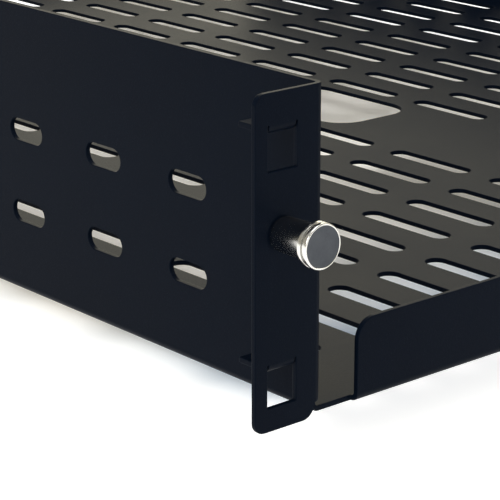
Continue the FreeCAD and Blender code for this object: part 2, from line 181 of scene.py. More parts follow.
class SurfaceGraph(NodeGraph):
    """A material's node graph, with the patterns that the finishes share."""

    def __init__(self, name: str) -> None:
        """Make a material with an empty graph.

        Args:
            name: The material's name.
        """
        self.material = bpy.data.materials.new(name)
        self.material.use_nodes = True
        super().__init__(self.material.node_tree)
        self.place = self.node("ShaderNodeTexCoord", output="Object")

    def noise(self, period: float, detail: float = 2.0, stretch: tuple[float, ...] = (1, 1, 1)) -> Wire:
        """Soft noise from 0 to 1.

        Args:
            period: Size of its patches in metres.
            detail: Octaves of finer noise.
            stretch: Scale along each axis.
        """
        point = self.node("ShaderNodeMapping", {}, {"Vector": self.place, "Scale": stretch})
        sockets = {"Vector": point, "Scale": 1 / period, "Detail": detail}
        return self.node("ShaderNodeTexNoise", {}, sockets, "Fac")

    def tint(self, amount: Wire, low: tuple[float, ...], high: tuple[float, ...]) -> Wire:
        """A colour between two, by an amount from 0 to 1."""
        stops = [(0.0, low), (1.0, high)]
        return self.node("ShaderNodeValToRGB", {"stops": stops}, {"Fac": amount}, "Color")

    def relief(self, height: Wire, depth: float, strength: float = 1.0) -> Wire:
        """A bumped normal from a height that runs from 0 to 1 over a depth in metres."""
        sockets = {"Height": height, "Distance": depth, "Strength": strength}
        return self.node("ShaderNodeBump", {}, sockets, "Normal")

    def surface(self, **sockets: Any) -> bpy.types.Material:
        """End the graph in a Principled shader.

        Args:
            sockets: Values or wires by socket name, with _ for each space.

        Returns:
            The finished material.
        """
        named = {name.replace("_", " "): value for name, value in sockets.items()}
        shader = self.node("ShaderNodeBsdfPrincipled", {}, named)
        self.node("ShaderNodeOutputMaterial", {}, {"Surface": shader})
        return self.material


# ---------------------------------------------------------------- finishes


@dataclass(frozen=True)
class PowderCoat:
    """Black powder coat: satin, faintly blue, with a fine pebbled skin."""

    deep: tuple[float, float, float] = (0.0013, 0.0030, 0.0080)
    pale: tuple[float, float, float] = (0.0040, 0.0078, 0.0165)
    pebble: float = 0.7 * MM
    pebble_depth: float = 0.06 * MM
    cloud: float = 60.0 * MM
    speck_size: float = 0.4
    speck_level: float = 0.68
    roughness: float = 0.34
    gloss_level: float = 0.055
    refraction: float = 1.32

    def material(self) -> bpy.types.Material:
        """Make the finish."""
        graph = SurfaceGraph("black_powder_coat")
        pebbles = graph.noise(self.pebble, 3.0)
        clouds = graph.noise(self.cloud, 3.0)
        speck = graph.noise(self.pebble * self.speck_size, 1.0).above(self.speck_level)
        colour = graph.tint(clouds * 0.6 + pebbles * 0.3 + speck * 0.35, self.deep, self.pale)
        rough = self.roughness + clouds * 0.1 + pebbles * 0.08
        return graph.surface(
            Base_Color=colour,
            Roughness=rough,
            Specular_IOR_Level=self.gloss_level,
            IOR=self.refraction,
            Normal=graph.relief(pebbles + speck * 0.4, self.pebble_depth, 0.55),
        )


@dataclass(frozen=True)
class TurnedChrome:
    """Polished chrome on the knob, with a dull turned end face and dark tool grooves."""

    column: float
    height: float
    face: float
    face_radius: float
    face_depth: float = 0.4 * MM
    ring_pitch: float = 0.22 * MM
    smear_size: float = 3.5 * MM
    grain_size: float = 0.4 * MM
    relief_depth: float = 0.006 * MM
    bright: tuple[tuple[float, ...], ...] = ((0.56, 0.56, 0.55), (0.82, 0.81, 0.78))
    dull: tuple[tuple[float, ...], ...] = ((0.034, 0.038, 0.046), (0.085, 0.092, 0.104))

    def material(self) -> bpy.types.Material:
        """Make the finish, centred on both plungers' axes."""
        graph = SurfaceGraph("bright_chrome")
        axes = graph.node("ShaderNodeSeparateXYZ", {}, {0: graph.place}, "X")
        parts = axes.socket.node.outputs
        across = abs(Wire(graph, parts["X"])) - self.column
        up = Wire(graph, parts["Z"]) - self.height
        radius = graph.math("SQRT", across * across + up * up)
        along = Wire(graph, parts["Y"])
        end = along.below(self.face + self.face_depth) * radius.below(self.face_radius)
        rings = graph.math("SINE", radius * (2 * math.pi / self.ring_pitch)) * 0.5 + 0.5
        smear = graph.noise(self.smear_size, 4.0)
        grain = graph.noise(self.grain_size, 3.0)
        bright = graph.tint(smear, *self.bright)
        dull = graph.tint(smear * 0.6 + grain * 0.4, *self.dull)
        choice = {0: end, 6: bright, 7: dull}
        colour = graph.node("ShaderNodeMix", {"data_type": "RGBA"}, choice, 2)
        rough = 0.15 + smear * 0.1 + end * (0.16 + rings * 0.05)
        return graph.surface(
            Base_Color=colour,
            Metallic=1.0,
            Roughness=rough,
            Normal=graph.relief(end * rings + grain * 0.3, self.relief_depth, 0.5),
        )


@dataclass(frozen=True)
class TurnedSteel:
    """Plain turned steel with fine rings along its axis."""

    name: str = "turned_steel"
    dark: tuple[float, float, float] = (0.33, 0.33, 0.34)
    light: tuple[float, float, float] = (0.56, 0.56, 0.57)
    ring_size: float = 4.0 * MM
    stain_size: float = 2.5 * MM
    relief_depth: float = 0.01 * MM

    def material(self) -> bpy.types.Material:
        """Make the finish."""
        graph = SurfaceGraph(self.name)
        rings = graph.noise(self.ring_size, 3.0, (1, 22, 1))
        stains = graph.noise(self.stain_size, 4.0)
        return graph.surface(
            Base_Color=graph.tint(stains * 0.6 + rings * 0.4, self.dark, self.light),
            Metallic=1.0,
            Roughness=0.24 + rings * 0.12 + stains * 0.08,
            Normal=graph.relief(rings, self.relief_depth, 0.6),
        )


# ---------------------------------------------------------------- sheet-metal tools


@dataclass(frozen=True)
class SlotPattern:
    """Rows and columns of round-ended slots in a panel's own two directions."""

    width: float = 0.0
    length: float = 0.0
    columns: int = 0
    rows: int = 0
    column_pitch: float = 0.0
    row_pitch: float = 0.0
    first_column: float = 0.0
    first_row: float = 0.0
    both_sides: bool = False


class Punch:
    """The Geometry Nodes tree that fills a panel's outline and punches its slots."""

    SOCKETS = (
        ("Slot Width", "NodeSocketFloat", "width"),
        ("Slot Length", "NodeSocketFloat", "length"),
        ("Columns", "NodeSocketInt", "columns"),
        ("Rows", "NodeSocketInt", "rows"),
        ("Column Pitch", "NodeSocketFloat", "column_pitch"),
        ("Row Pitch", "NodeSocketFloat", "row_pitch"),
        ("First Column", "NodeSocketFloat", "first_column"),
        ("First Row", "NodeSocketFloat", "first_row"),
        ("Both Sides", "NodeSocketBool", "both_sides"),
    )
    END_STEPS = 6

    def __init__(self, material: bpy.types.Material) -> None:
        """Build the tree.

        Args:
            material: The finish that the punched panel gets.
        """
        self.tree = bpy.data.node_groups.new("punched_panel", "GeometryNodeTree")
        graph = NodeGraph(self.tree)
        face = self.tree.interface
        face.new_socket("Outline", in_out="INPUT", socket_type="NodeSocketGeometry")
        for name, kind, _ in self.SOCKETS:
            face.new_socket(name, in_out="INPUT", socket_type=kind)
        face.new_socket("Panel", in_out="OUTPUT", socket_type="NodeSocketGeometry")
        start = graph.node("NodeGroupInput").socket.node
        given = {name: Wire(graph, start.outputs[name]) for name, _, _ in self.SOCKETS}

        rectangle = graph.node(
            "GeometryNodeCurvePrimitiveQuadrilateral",
            {},
            {"Width": given["Slot Width"], "Height": given["Slot Length"]},
        )
        radius = given["Slot Width"] * 0.499
        slot = graph.node(
            "GeometryNodeFilletCurve",
            {"mode": "POLY"},
            {"Curve": rectangle, "Radius": radius, "Count": self.END_STEPS},
        )
        wide = (given["Columns"] - 1) * given["Column Pitch"]
        long = (given["Rows"] - 1) * given["Row Pitch"]
        grid = graph.node(
            "GeometryNodeMeshGrid",
            {},
            {
                "Size X": wide,
                "Size Y": long,
                "Vertices X": given["Columns"],
                "Vertices Y": given["Rows"],
            },
        )
        centre = graph.node(
            "ShaderNodeCombineXYZ",
            {},
            {"X": given["First Column"] + wide / 2, "Y": given["First Row"] + long / 2},
        )
        places = graph.node(
            "GeometryNodeTransform", {}, {"Geometry": grid, "Translation": centre}
        )
        mirrored = graph.node(
            "GeometryNodeTransform", {}, {"Geometry": places, "Scale": (-1.0, 1.0, 1.0)}
        )
        other_side = graph.node(
            "GeometryNodeSwitch",
            {"input_type": "GEOMETRY"},
            {"Switch": given["Both Sides"], "True": mirrored},
        )
        points = graph.node("GeometryNodeJoinGeometry", {}, {0: [places, other_side]})
        stamped = graph.node(
            "GeometryNodeInstanceOnPoints", {}, {"Points": points, "Instance": slot}
        )
        slots = graph.node("GeometryNodeRealizeInstances", {}, {"Geometry": stamped})
        border = graph.node(
            "GeometryNodeMeshToCurve", {}, {"Mesh": Wire(graph, start.outputs["Outline"])}
        )
        curves = graph.node("GeometryNodeJoinGeometry", {}, {0: [border, slots]})
        filled = graph.node("GeometryNodeFillCurve", {"mode": "TRIANGLES"}, {"Curve": curves})
        merged = graph.node(
            "GeometryNodeMergeByDistance", {}, {"Geometry": filled, "Distance": 0.04 * MM}
        )
        real = graph.node("GeometryNodeRealizeInstances", {}, {"Geometry": merged})
        dressed = graph.node(
            "GeometryNodeSetMaterial", {}, {"Geometry": real, "Material": material}
        )
        graph.node("NodeGroupOutput", {}, {0: dressed})

    def panel(self, loops: list[list[tuple[float, float]]], pattern: SlotPattern) -> bpy.types.Mesh:
        """Fill an outline, less its openings and slots.

        Args:
            loops: The outer outline and any openings, as corners in the panel's plane.
            pattern: The slots to punch.

        Returns:
            A flat mesh of triangles in the XY plane.
        """
        wires = bpy.data.meshes.new("outline")
        corners: list[tuple[float, float, float]] = []
        edges: list[tuple[int, int]] = []
        for loop in loops:
            first = len(corners)
            corners += [(across, up, 0.0) for across, up in loop]
            edges += [(first + i, first + (i + 1) % len(loop)) for i in range(len(loop))]
        wires.from_pydata(corners, edges, [])
        holder = bpy.data.objects.new("outline", wires)
        bpy.context.scene.collection.objects.link(holder)
        step = holder.modifiers.new("punch", "NODES")
        step.node_group = self.tree
        named = {item.name: item.identifier for item in self.tree.interface.items_tree}
        for name, _, attribute in self.SOCKETS:
            step[named[name]] = getattr(pattern, attribute)
        return flatten(holder)


def flatten(holder: bpy.types.Object) -> bpy.types.Mesh:
    """Turn an object and its modifiers into a plain mesh and remove the object."""
    bpy.context.view_layer.update()
    ready = holder.evaluated_get(bpy.context.evaluated_depsgraph_get())
    mesh = bpy.data.meshes.new_from_object(ready)
    holder.modifiers.clear()
    bpy.data.objects.remove(holder)
    return mesh


def arc(
    centre: tuple[float, float], radius: float, start: float, end: float, steps: int = 8
) -> list[tuple[float, float]]:
    """Points on an arc.

    Args:
        centre: The arc's centre.
        radius: Its radius.
        start: Its first angle in degrees.
        end: Its last angle in degrees.
        steps: How many straight edges it has.

    Returns:
        The points from start to end, both included.
    """
    angles = [math.radians(start + (end - start) * i / steps) for i in range(steps + 1)]
    return [(centre[0] + radius * math.cos(a), centre[1] + radius * math.sin(a)) for a in angles]


def plane(origin: Vector, across: Vector, up: Vector) -> Matrix:
    """The matrix that puts a flat panel's two directions in the frame."""
    turn = Matrix((across, up, across.cross(up))).transposed().to_4x4()
    return Matrix.Translation(origin) @ turn


class Skin:
    """The outer skin of the folded sheet, before it gets its thickness."""

    MIRROR = Matrix.Scale(-1, 4, Vector((1, 0, 0)))

    def __init__(self) -> None:
        """Start with no faces."""
        self.mesh = bmesh.new()

    def add(self, panel: bpy.types.Mesh, place: Matrix) -> None:
        """Put a flat panel in place."""
        before = len(self.mesh.verts)
        self.mesh.from_mesh(panel)
        self.mesh.verts.ensure_lookup_table()
        bmesh.ops.transform(self.mesh, matrix=place, verts=self.mesh.verts[before:])

    def sweep(self, section: list[Vector], stations: list[Vector]) -> None:
        """Sweep an open section through straight stations, as a bend's strip.

        Args:
            section: The points of the section.
            stations: Offsets added to the section, one for each crossing row of corners.
        """
        rows = [[self.mesh.verts.new(point + shift) for point in section] for shift in stations]
        for row, after in zip(rows, rows[1:]):
            for i in range(len(section) - 1):
                self.mesh.faces.new((row[i], row[i + 1], after[i + 1], after[i]))

    def mirror(self) -> None:
        """Add the mirror image across the shelf's middle plane."""
        double = bmesh.ops.duplicate(self.mesh, geom=self.mesh.faces[:])["geom"]
        corners = [item for item in double if isinstance(item, bmesh.types.BMVert)]
        bmesh.ops.transform(self.mesh, matrix=self.MIRROR, verts=corners)

    def close(self, name: str) -> bpy.types.Mesh:
        """Weld the panels and strips, and turn every face to the sheet's outer side."""
        bmesh.ops.remove_doubles(self.mesh, verts=self.mesh.verts[:], dist=0.02 * MM)
        bmesh.ops.recalc_face_normals(self.mesh, faces=self.mesh.faces[:])
        lowest = min(self.mesh.faces, key=lambda f: f.calc_center_median().z - f.calc_area())
        if lowest.normal.z > 0:
            bmesh.ops.reverse_faces(self.mesh, faces=self.mesh.faces[:])
        made = bpy.data.meshes.new(name)
        self.mesh.to_mesh(made)
        self.mesh.free()
        return made


def smooth(mesh: bpy.types.Mesh, angle: float = 35.0) -> None:
    """Shade a mesh smooth, except over edges sharper than the angle."""
    mesh.shade_smooth()
    mesh.set_sharp_from_angle(angle=math.radians(angle))


# ---------------------------------------------------------------- the folded shelf


@dataclass
class FoldedShelf:
    """Floor, walls, ears, lips and hooks of the one folded sheet, in metres."""

    material: bpy.types.Material
    column: float
    plunger_height: float
    bend_inner: float = 1.0 * MM
    bend_relief: float = 0.8 * MM
    half_width: float = 220.5 * MM
    ear_corner: float = 3.0 * MM
    ear_foot: float = 4.0 * MM
    lip_height: float = 22.5 * MM
    lip_inset: float = 13.7 * MM
    lip_corner: float = 6.0 * MM
    plunger_hole: float = 3.2 * MM
    hook_width: float = 8.6 * MM
    hook_gap: float = 0.4 * MM
    hook_seat: float = 15.3 * MM
    hook_spacing: float = 60.325 * MM
    window_height: float = 11.6 * MM
    opening_half: float = 20.0 * MM
    opening_length: float = 60.0 * MM
    opening_radius: float = 12.0 * MM
    opening_advance: float = 34.0 * MM
    bend_steps: int = 6
    edge_round: float = 0.22 * MM
    floor_pattern: SlotPattern = field(
        default_factory=lambda: SlotPattern(
            width=7.2 * MM,
            length=37.5 * MM,
            columns=9,
            rows=10,
            column_pitch=20.2 * MM,
            row_pitch=49.0 * MM,
            first_column=30.3 * MM,
            both_sides=True,
        )
    )
    wall_pattern: SlotPattern = field(
        default_factory=lambda: SlotPattern(
            width=6.5 * MM,
            length=15.5 * MM,
            columns=2,
            rows=13,
            column_pitch=24.5 * MM,
            row_pitch=36.6 * MM,
            first_column=25.0 * MM,
        )
    )

    def __post_init__(self) -> None:
        """Take the outer sizes from the frame."""
        low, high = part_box("shelf_body")
        self.thick = -low[1]
        self.tip = high[0]
        self.rear = high[1]
        self.top = high[2]
        self.front = -self.thick
        self.bend_outer = self.bend_inner + self.thick
        self.wall_start = self.bend_inner + self.bend_relief
        self.middle = (self.front + self.rear) / 2
        self.fold_end = self.front + self.bend_outer
        self.floor_rear = self.rear - self.bend_outer
        self.lip_end = self.half_width - self.lip_inset
        self.flat_edge = self.half_width - self.bend_outer
        self.ear_line = self.half_width + self.bend_inner
        self.punch = Punch(self.material)

    def build(self) -> bpy.types.Object:
        """Fold, thicken and finish the sheet.

        Returns:
            The object that stands for the shelf's CAD node.
        """
        skin = Skin()
        self.wall(skin)
        self.ear(skin)
        skin.mirror()
        self.floor(skin)
        self.lip(skin, self.front, 1)
        self.lip(skin, self.rear, -1)
        mesh = self.thicken(skin.close("folded_shelf"))
        shelf = bpy.data.objects.new("folded_shelf", mesh)
        bpy.context.scene.collection.objects.link(shelf)
        return shelf

    def centred(self, pattern: SlotPattern) -> SlotPattern:
        """A pattern whose rows are centred on the shelf's depth."""
        values = dict(vars(pattern))
        values["first_row"] = self.middle - (pattern.rows - 1) * pattern.row_pitch / 2
        return SlotPattern(**values)

    def floor(self, skin: Skin) -> None:
        """The slotted floor, with its cable opening and the ends of the lips' folds."""
        edge, end = self.flat_edge, self.lip_end
        near, far = self.fold_end, self.floor_rear
        outline = [
            (-edge, near),
            (-end, near),
            (end, near),
            (edge, near),
            (edge, self.wall_start),
            (edge, far),
            (end, far),
            (-end, far),
            (-edge, far),
            (-edge, self.wall_start),
        ]
        across = self.opening_half - self.opening_radius
        along = self.opening_length / 2 - self.opening_radius
        centre = self.middle - self.opening_advance
        opening: list[tuple[float, float]] = []
        for side, reach, start in ((1, -1, 270), (1, 1, 0), (-1, 1, 90), (-1, -1, 180)):
            corner = (side * across, centre + reach * along)
            opening += arc(corner, self.opening_radius, start, start + 90)
        panel = self.punch.panel([outline, opening], self.centred(self.floor_pattern))
        skin.add(panel, Matrix.Identity(4))

    def wall(self, skin: Skin) -> None:
        """The left side wall with its two rows of slots, and its bend from the floor."""
        outline = [
            (self.bend_outer, self.wall_start),
            (self.bend_outer, self.floor_rear),
            (self.top, self.floor_rear),
            (self.top, self.bend_inner),
            (self.ear_foot, self.bend_inner),
            (self.ear_foot, self.wall_start),
        ]
        panel = self.punch.panel([outline], self.centred(self.wall_pattern))
        place = plane(Vector((-self.half_width, 0, 0)), Vector((0, 0, 1)), Vector((0, 1, 0)))
        skin.add(panel, place)
        bend = arc((-self.flat_edge, self.bend_outer), self.bend_outer, 270, 180, self.bend_steps)
        section = [Vector((across, 0, up)) for across, up in bend]
        stops = (self.fold_end, self.wall_start, self.floor_rear)
        skin.sweep(section, [Vector((0, along, 0)) for along in stops])

    def ear(self, skin: Skin) -> None:
        """The left ear with its hook windows, hooks and plunger hole, and its bend."""
        foot = self.ear_foot
        outline = arc((-self.ear_line - foot, foot), foot, 270, 360, 6)
        outline.append((-self.ear_line, self.top))
        corner = self.ear_corner
        outline += arc((corner - self.tip, self.top - corner), corner, 90, 180, 6)
        outline += arc((corner - self.tip, corner), corner, 180, 270, 6)
        loops = [outline, arc((-self.column, self.plunger_height), self.plunger_hole, 0, 345, 23)]
        side = self.hook_width / 2
        clear = side + self.hook_gap
        for level in (0, self.hook_spacing):
            high = self.hook_seat + self.bend_outer + level
            low = high - self.window_height
            corners = (
                (-clear, low),
                (clear, low),
                (clear, high),
                (side, high),
                (-side, high),
                (-clear, high),
            )
            loops.append([(across - self.column, up) for across, up in corners])
            self.hook(skin, high)
        panel = self.punch.panel(loops, SlotPattern())
        skin.add(panel, plane(Vector((0, 0, 0)), Vector((1, 0, 0)), Vector((0, 0, 1))))
        bend = arc((-self.ear_line, self.bend_inner), self.bend_inner, 270, 360, self.bend_steps)
        section = [Vector((across, along, 0)) for across, along in bend]
        skin.sweep(section, [Vector((0, 0, up)) for up in (foot, self.top)])

    def hook(self, skin: Skin, high: float) -> None:
        """A tongue bent back from the top of its window."""
        developed = (self.bend_inner + self.thick / 2) * math.pi / 2
        tip = self.fold_end + self.window_height - developed
        bend = arc((self.bend_inner, high), self.bend_inner, 180, 270, self.bend_steps)
        section = [Vector((-self.column, along, up)) for along, up in bend]
        section.append(Vector((-self.column, tip, high - self.bend_inner)))
        half = self.hook_width / 2
        skin.sweep(section, [Vector((-half, 0, 0)), Vector((half, 0, 0))])

    def lip(self, skin: Skin, face: float, inward: int) -> None:
        """An upturned lip.

        Args:
            skin: The skin that it joins.
            face: Where its outer face stands along the shelf.
            inward: 1 for the front lip, -1 for the rear one.
        """
        end, corner = self.lip_end, self.lip_corner
        outline = [(-end, self.bend_outer), (end, self.bend_outer)]
        outline += arc((end - corner, self.lip_height - corner), corner, 0, 90)
        outline += arc((corner - end, self.lip_height - corner), corner, 90, 180)
        panel = self.punch.panel([outline], SlotPattern())
        skin.add(panel, plane(Vector((0, face, 0)), Vector((1, 0, 0)), Vector((0, 0, 1))))
        bend = arc((self.bend_outer, self.bend_outer), self.bend_outer, 270, 180, self.bend_steps)
        section = [Vector((0, face + inward * along, up)) for along, up in bend]
        skin.sweep(section, [Vector((-end, 0, 0)), Vector((end, 0, 0))])

    def thicken(self, skin: bpy.types.Mesh) -> bpy.types.Mesh:
        """Give the skin its thickness and its rims their softly coated edges."""
        skin.materials.append(self.material)
        holder = bpy.data.objects.new("skin", skin)
        bpy.context.scene.collection.objects.link(holder)
        plate = holder.modifiers.new("thickness", "SOLIDIFY")
        plate.thickness = self.thick
        plate.offset = -1
        plate.use_even_offset = True
        rim = holder.modifiers.new("rims", "BEVEL")
        rim.width = self.edge_round
        rim.segments = 2
        rim.limit_method = "ANGLE"
        rim.angle_limit = math.radians(50)
        rim.use_clamp_overlap = False
        mesh = flatten(holder)
        smooth(mesh, 50)
        weigh = bpy.data.objects.new("weigh", mesh)
        bpy.context.scene.collection.objects.link(weigh)
        weights = weigh.modifiers.new("weights", "WEIGHTED_NORMAL")
        weights.keep_sharp = True
        weights.weight = 80
        return flatten(weigh)


# ---------------------------------------------------------------- the spring plungers


class Side(Enum):
    """The two plungers, by the side of the shelf that they are on."""

    LEFT = "left"
    RIGHT = "right"


class Coil:
    """The Geometry Nodes tree of a plunger's spring."""

    SOCKETS = (
        ("Radius", "NodeSocketFloat"),
        ("Wire Radius", "NodeSocketFloat"),
        ("Height", "NodeSocketFloat"),
        ("Turns", "NodeSocketFloat"),
    )

    def __init__(self, material: bpy.types.Material) -> None:
        """Build the tree.

        Args:
            material: The finish that the wire gets.
        """
        self.tree = bpy.data.node_groups.new("coil_spring", "GeometryNodeTree")
        graph = NodeGraph(self.tree)
        face = self.tree.interface
        face.new_socket("Geometry", in_out="INPUT", socket_type="NodeSocketGeometry")
        for name, kind in self.SOCKETS:
            face.new_socket(name, in_out="INPUT", socket_type=kind)
        face.new_socket("Coil", in_out="OUTPUT", socket_type="NodeSocketGeometry")
        start = graph.node("NodeGroupInput").socket.node
        given = {name: Wire(graph, start.outputs[name]) for name, _ in self.SOCKETS}
        path = graph.node(
            "GeometryNodeCurveSpiral",
            {},
            {
                "Resolution": 32,
                "Rotations": given["Turns"],
                "Start Radius": given["Radius"],
                "End Radius": given["Radius"],
                "Height": given["Height"],
            },
        )
        ring = graph.node(
            "GeometryNodeCurvePrimitiveCircle",
            {},
            {"Resolution": 12, "Radius": given["Wire Radius"]},
        )
        wire = graph.node(
            "GeometryNodeCurveToMesh", {}, {"Curve": path, "Profile Curve": ring, "Fill Caps": True}
        )
        real = graph.node("GeometryNodeRealizeInstances", {}, {"Geometry": wire})
        dressed = graph.node(
            "GeometryNodeSetMaterial", {}, {"Geometry": real, "Material": material}
        )
        graph.node("NodeGroupOutput", {}, {0: dressed})

    def mesh(self, values: dict[str, float]) -> bpy.types.Mesh:
        """Coil the wire.

        Args:
            values: The tree's inputs by name.

        Returns:
            A closed mesh about the Z axis, standing on the XY plane.
        """
        holder = bpy.data.objects.new("coil", bpy.data.meshes.new("coil"))
        bpy.context.scene.collection.objects.link(holder)
        step = holder.modifiers.new("coil", "NODES")
        step.node_group = self.tree
        named = {item.name: item.identifier for item in self.tree.interface.items_tree}
        for name, value in values.items():
            step[named[name]] = value
        return flatten(holder)


@dataclass
class Plunger:
    """One lock plunger: barrel, pin, spring and knob on an axis along Y, in metres."""

    side: Side
    chrome: bpy.types.Material
    steel: bpy.types.Material
    coil: Coil
    disc: float = 1.3 * MM
    groove: float = 0.6 * MM
    groove_depth: float = 0.7 * MM
    rear_disc: float = 1.2 * MM
    neck: float = 4.7 * MM
    neck_end: float = 4.45 * MM
    skirt_bore: float = 3.95 * MM
    stem: float = 1.25 * MM
    stem_hole: float = 1.3 * MM
    bore: float = 2.55 * MM
    shank: float = 3.2 * MM
    barrel_wall: float = 1.2 * MM
    spring_wire: float = 0.225 * MM
    turns: float = 3.5
    travel: float = 4.0 * MM
    eased_edge: float = 0.12 * MM
    nose_edge: float = 0.2 * MM
    shoulder_gap: float = 0.05 * MM
    dish: float = 0.1 * MM
    dish_edge: float = 0.55 * MM
    rim_inner: float = 0.4 * MM
    rim_chamfer: float = 0.22 * MM
    neck_fillet: float = 0.25 * MM

    def __post_init__(self) -> None:
        """Take the axis and the pieces' ends from the frame."""
        self.knob_low, self.knob_high = (Vector(c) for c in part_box(self.node("knob")))
        self.barrel_low, self.barrel_high = (Vector(c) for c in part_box(self.node("barrel")))
        self.pin_low, self.pin_high = (Vector(c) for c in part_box(self.node("pin")))
        self.spring_low, self.spring_high = (Vector(c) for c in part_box(self.node("spring")))
        middle = (self.knob_low + self.knob_high) / 2
        self.axis = Vector((middle.x, 0, middle.z))
        self.ear_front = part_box("shelf_body")[0][1]

    def node(self, piece: str) -> str:
        """The name of one of this plunger's CAD nodes."""
        return f"{self.side.value}_plunger_{piece}"

    def build(self) -> list[bpy.types.Object]:
        """Make the four pieces.

        Returns:
            The objects that stand for the plunger's CAD nodes.
        """
        moving = f"{self.side.value}_plunger"
        spring = self.finish(self.spring(), "spring", "shelf")
        self.pressed()
        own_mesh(spring)
        return [
            self.finish(self.barrel(), "barrel", "shelf"),
            self.finish(self.pin(), "pin", moving),
            spring,
            self.finish(self.knob(), "knob", moving),
        ]

    def pressed(self) -> float:
        """The spring's length at the end of the pull, as a share of its length at rest."""
        length = self.spring_high.y - self.spring_low.y
        return (length - self.travel) / length

    def finish(
        self, mesh: bpy.types.Mesh, piece: str, body: str
    ) -> bpy.types.Object:
        """Name a piece, tie it to its body and let it stand for its CAD node."""
        made = bpy.data.objects.new(f"{self.side.value}_{piece}_finished", mesh)
        bpy.context.scene.collection.objects.link(made)
        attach(made, body)
        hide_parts(self.node(piece))
        return made

    def turned(
        self,
        name: str,
        profile: list[tuple[float, float]],
        material: bpy.types.Material,
        closed: bool = False,
    ) -> bpy.types.Mesh:
        """Turn a profile about the plunger's axis.

        Args:
            name: The mesh's name.
            profile: Radius and place along Y of each corner.
            material: The finish.
            closed: Whether the profile's last corner meets its first, as in a ring.

        Returns:
            A closed mesh in place.
        """
        steps = 96
        shape = bmesh.new()
        rings: list[list[bmesh.types.BMVert]] = []
        for radius, along in profile:
            count = steps if radius > 0 else 1
            ring = []
            for i in range(count):
                angle = 2 * math.pi * i / steps
                spoke = Vector((radius * math.cos(angle), along, radius * math.sin(angle)))
                ring.append(shape.verts.new(self.axis + spoke))
            rings.append(ring)
        pairs = list(zip(rings, rings[1:]))
        if closed:
            pairs.append((rings[-1], rings[0]))
        for ring, after in pairs:
            for i in range(steps):
                j = (i + 1) % steps
                corners = [ring[i % len(ring)], ring[j % len(ring)]]
                corners += [after[j % len(after)], after[i % len(after)]]
                shape.faces.new(list(dict.fromkeys(corners)))
        bmesh.ops.recalc_face_normals(shape, faces=shape.faces[:])
        mesh = bpy.data.meshes.new(name)
        shape.to_mesh(mesh)
        shape.free()
        mesh.materials.append(material)
        smooth(mesh)
        return mesh

    @staticmethod
    def eased(corners: list[tuple[float, float]], radius: float) -> list[tuple[float, float]]:
        """Round every inner corner of a profile, keeping its two ends.

        Args:
            corners: The profile's corners.
            radius: How far each rounding reaches along its two edges at most.

        Returns:
            The profile with three points in place of each inner corner.
        """
        made = [corners[0]]
        for before, here, after in zip(corners, corners[1:], corners[2:]):
            start, turn, end = Vector(before), Vector(here), Vector(after)
            back = (start - turn).normalized() * min(radius, (start - turn).length * 0.45)
            ahead = (end - turn).normalized() * min(radius, (end - turn).length * 0.45)
            middle = turn + (back + ahead) * 0.29
            made += [tuple(turn + back), tuple(middle), tuple(turn + ahead)]
        return made + [corners[-1]]

    def barrel(self) -> bpy.types.Mesh:
        """The housing: bored from the back, with its shank in the ear."""
        outer = (self.barrel_high.x - self.barrel_low.x) / 2
        front, back = self.barrel_low.y, self.barrel_high.y
        step = front + self.barrel_wall
        corners = [
            (self.bore, (step + back) / 2),
            (self.bore, step),
            (self.stem_hole, step),
            (self.stem_hole, front),
            (outer, front),
            (outer, self.ear_front),
            (self.shank, self.ear_front),
            (self.shank, back),
            (self.bore, back),
            (self.bore, (step + back) / 2),
        ]
        profile = self.eased(corners, self.eased_edge)[:-1]
        return self.turned("barrel", profile, self.steel, closed=True)

    def pin(self) -> bpy.types.Mesh:
        """The lock pin with its rounded nose and the stem that carries the knob."""
        nose = (self.pin_high.x - self.pin_low.x) / 2
        tip, stem_end = self.pin_high.y, self.pin_low.y
        shoulder = self.spring_high.y + self.shoulder_gap
        corners = [
            (0.0, stem_end),
            (self.stem, stem_end),
            (self.stem, shoulder),
            (nose, shoulder),
            (nose, tip - nose / 4),
            (nose * 0.75, tip),
            (0.0, tip),
        ]
        return self.turned("pin", self.eased(corners, self.nose_edge), self.steel)

    def spring(self) -> bpy.types.Mesh:
        """The coil between the barrel's front wall and the pin's shoulder."""
        low, high = self.spring_low, self.spring_high
        outer = (high.x - low.x) / 2
        values = {
            "Radius": outer - self.spring_wire,
            "Wire Radius": self.spring_wire,
            "Height": high.y - low.y - 2 * self.spring_wire,
            "Turns": self.turns,
        }
        mesh = self.coil.mesh(values)
        turn = Matrix.Rotation(math.radians(-90), 4, "X")
        place = Matrix.Translation(self.axis + Vector((0, low.y + self.spring_wire, 0)))
        mesh.transform(place @ turn)
        smooth(mesh, 60)
        return mesh

    def knob(self) -> bpy.types.Mesh:
        """Two discs with a groove between them on a hollow neck round the barrel."""
        rim = (self.knob_high.x - self.knob_low.x) / 2
        face, opening = self.knob_low.y, self.knob_high.y
        front_disc = face + self.disc
        groove_end = front_disc + self.groove
        disc_end = groove_end + self.rear_disc
        barrel_front = self.barrel_low.y
        corners = [
            (0.0, face + self.dish),
            (rim - self.dish_edge, face + self.dish),
            (rim - self.rim_inner, face),
            (rim - self.rim_chamfer, face),
            (rim, face + self.rim_chamfer),
            (rim, front_disc),
            (rim - self.groove_depth, front_disc),
            (rim - self.groove_depth, groove_end),
            (rim, groove_end),
            (rim, disc_end),
            (self.neck, disc_end + self.neck_fillet),
            (self.neck_end, opening),
            (self.skirt_bore, opening),
            (self.skirt_bore, barrel_front),
            (self.stem, barrel_front),
            (self.stem, self.pin_low.y),
            (0.0, self.pin_low.y),
        ]
        return self.turned("knob", self.eased(corners, self.eased_edge), self.chrome)


# ---------------------------------------------------------------- studio


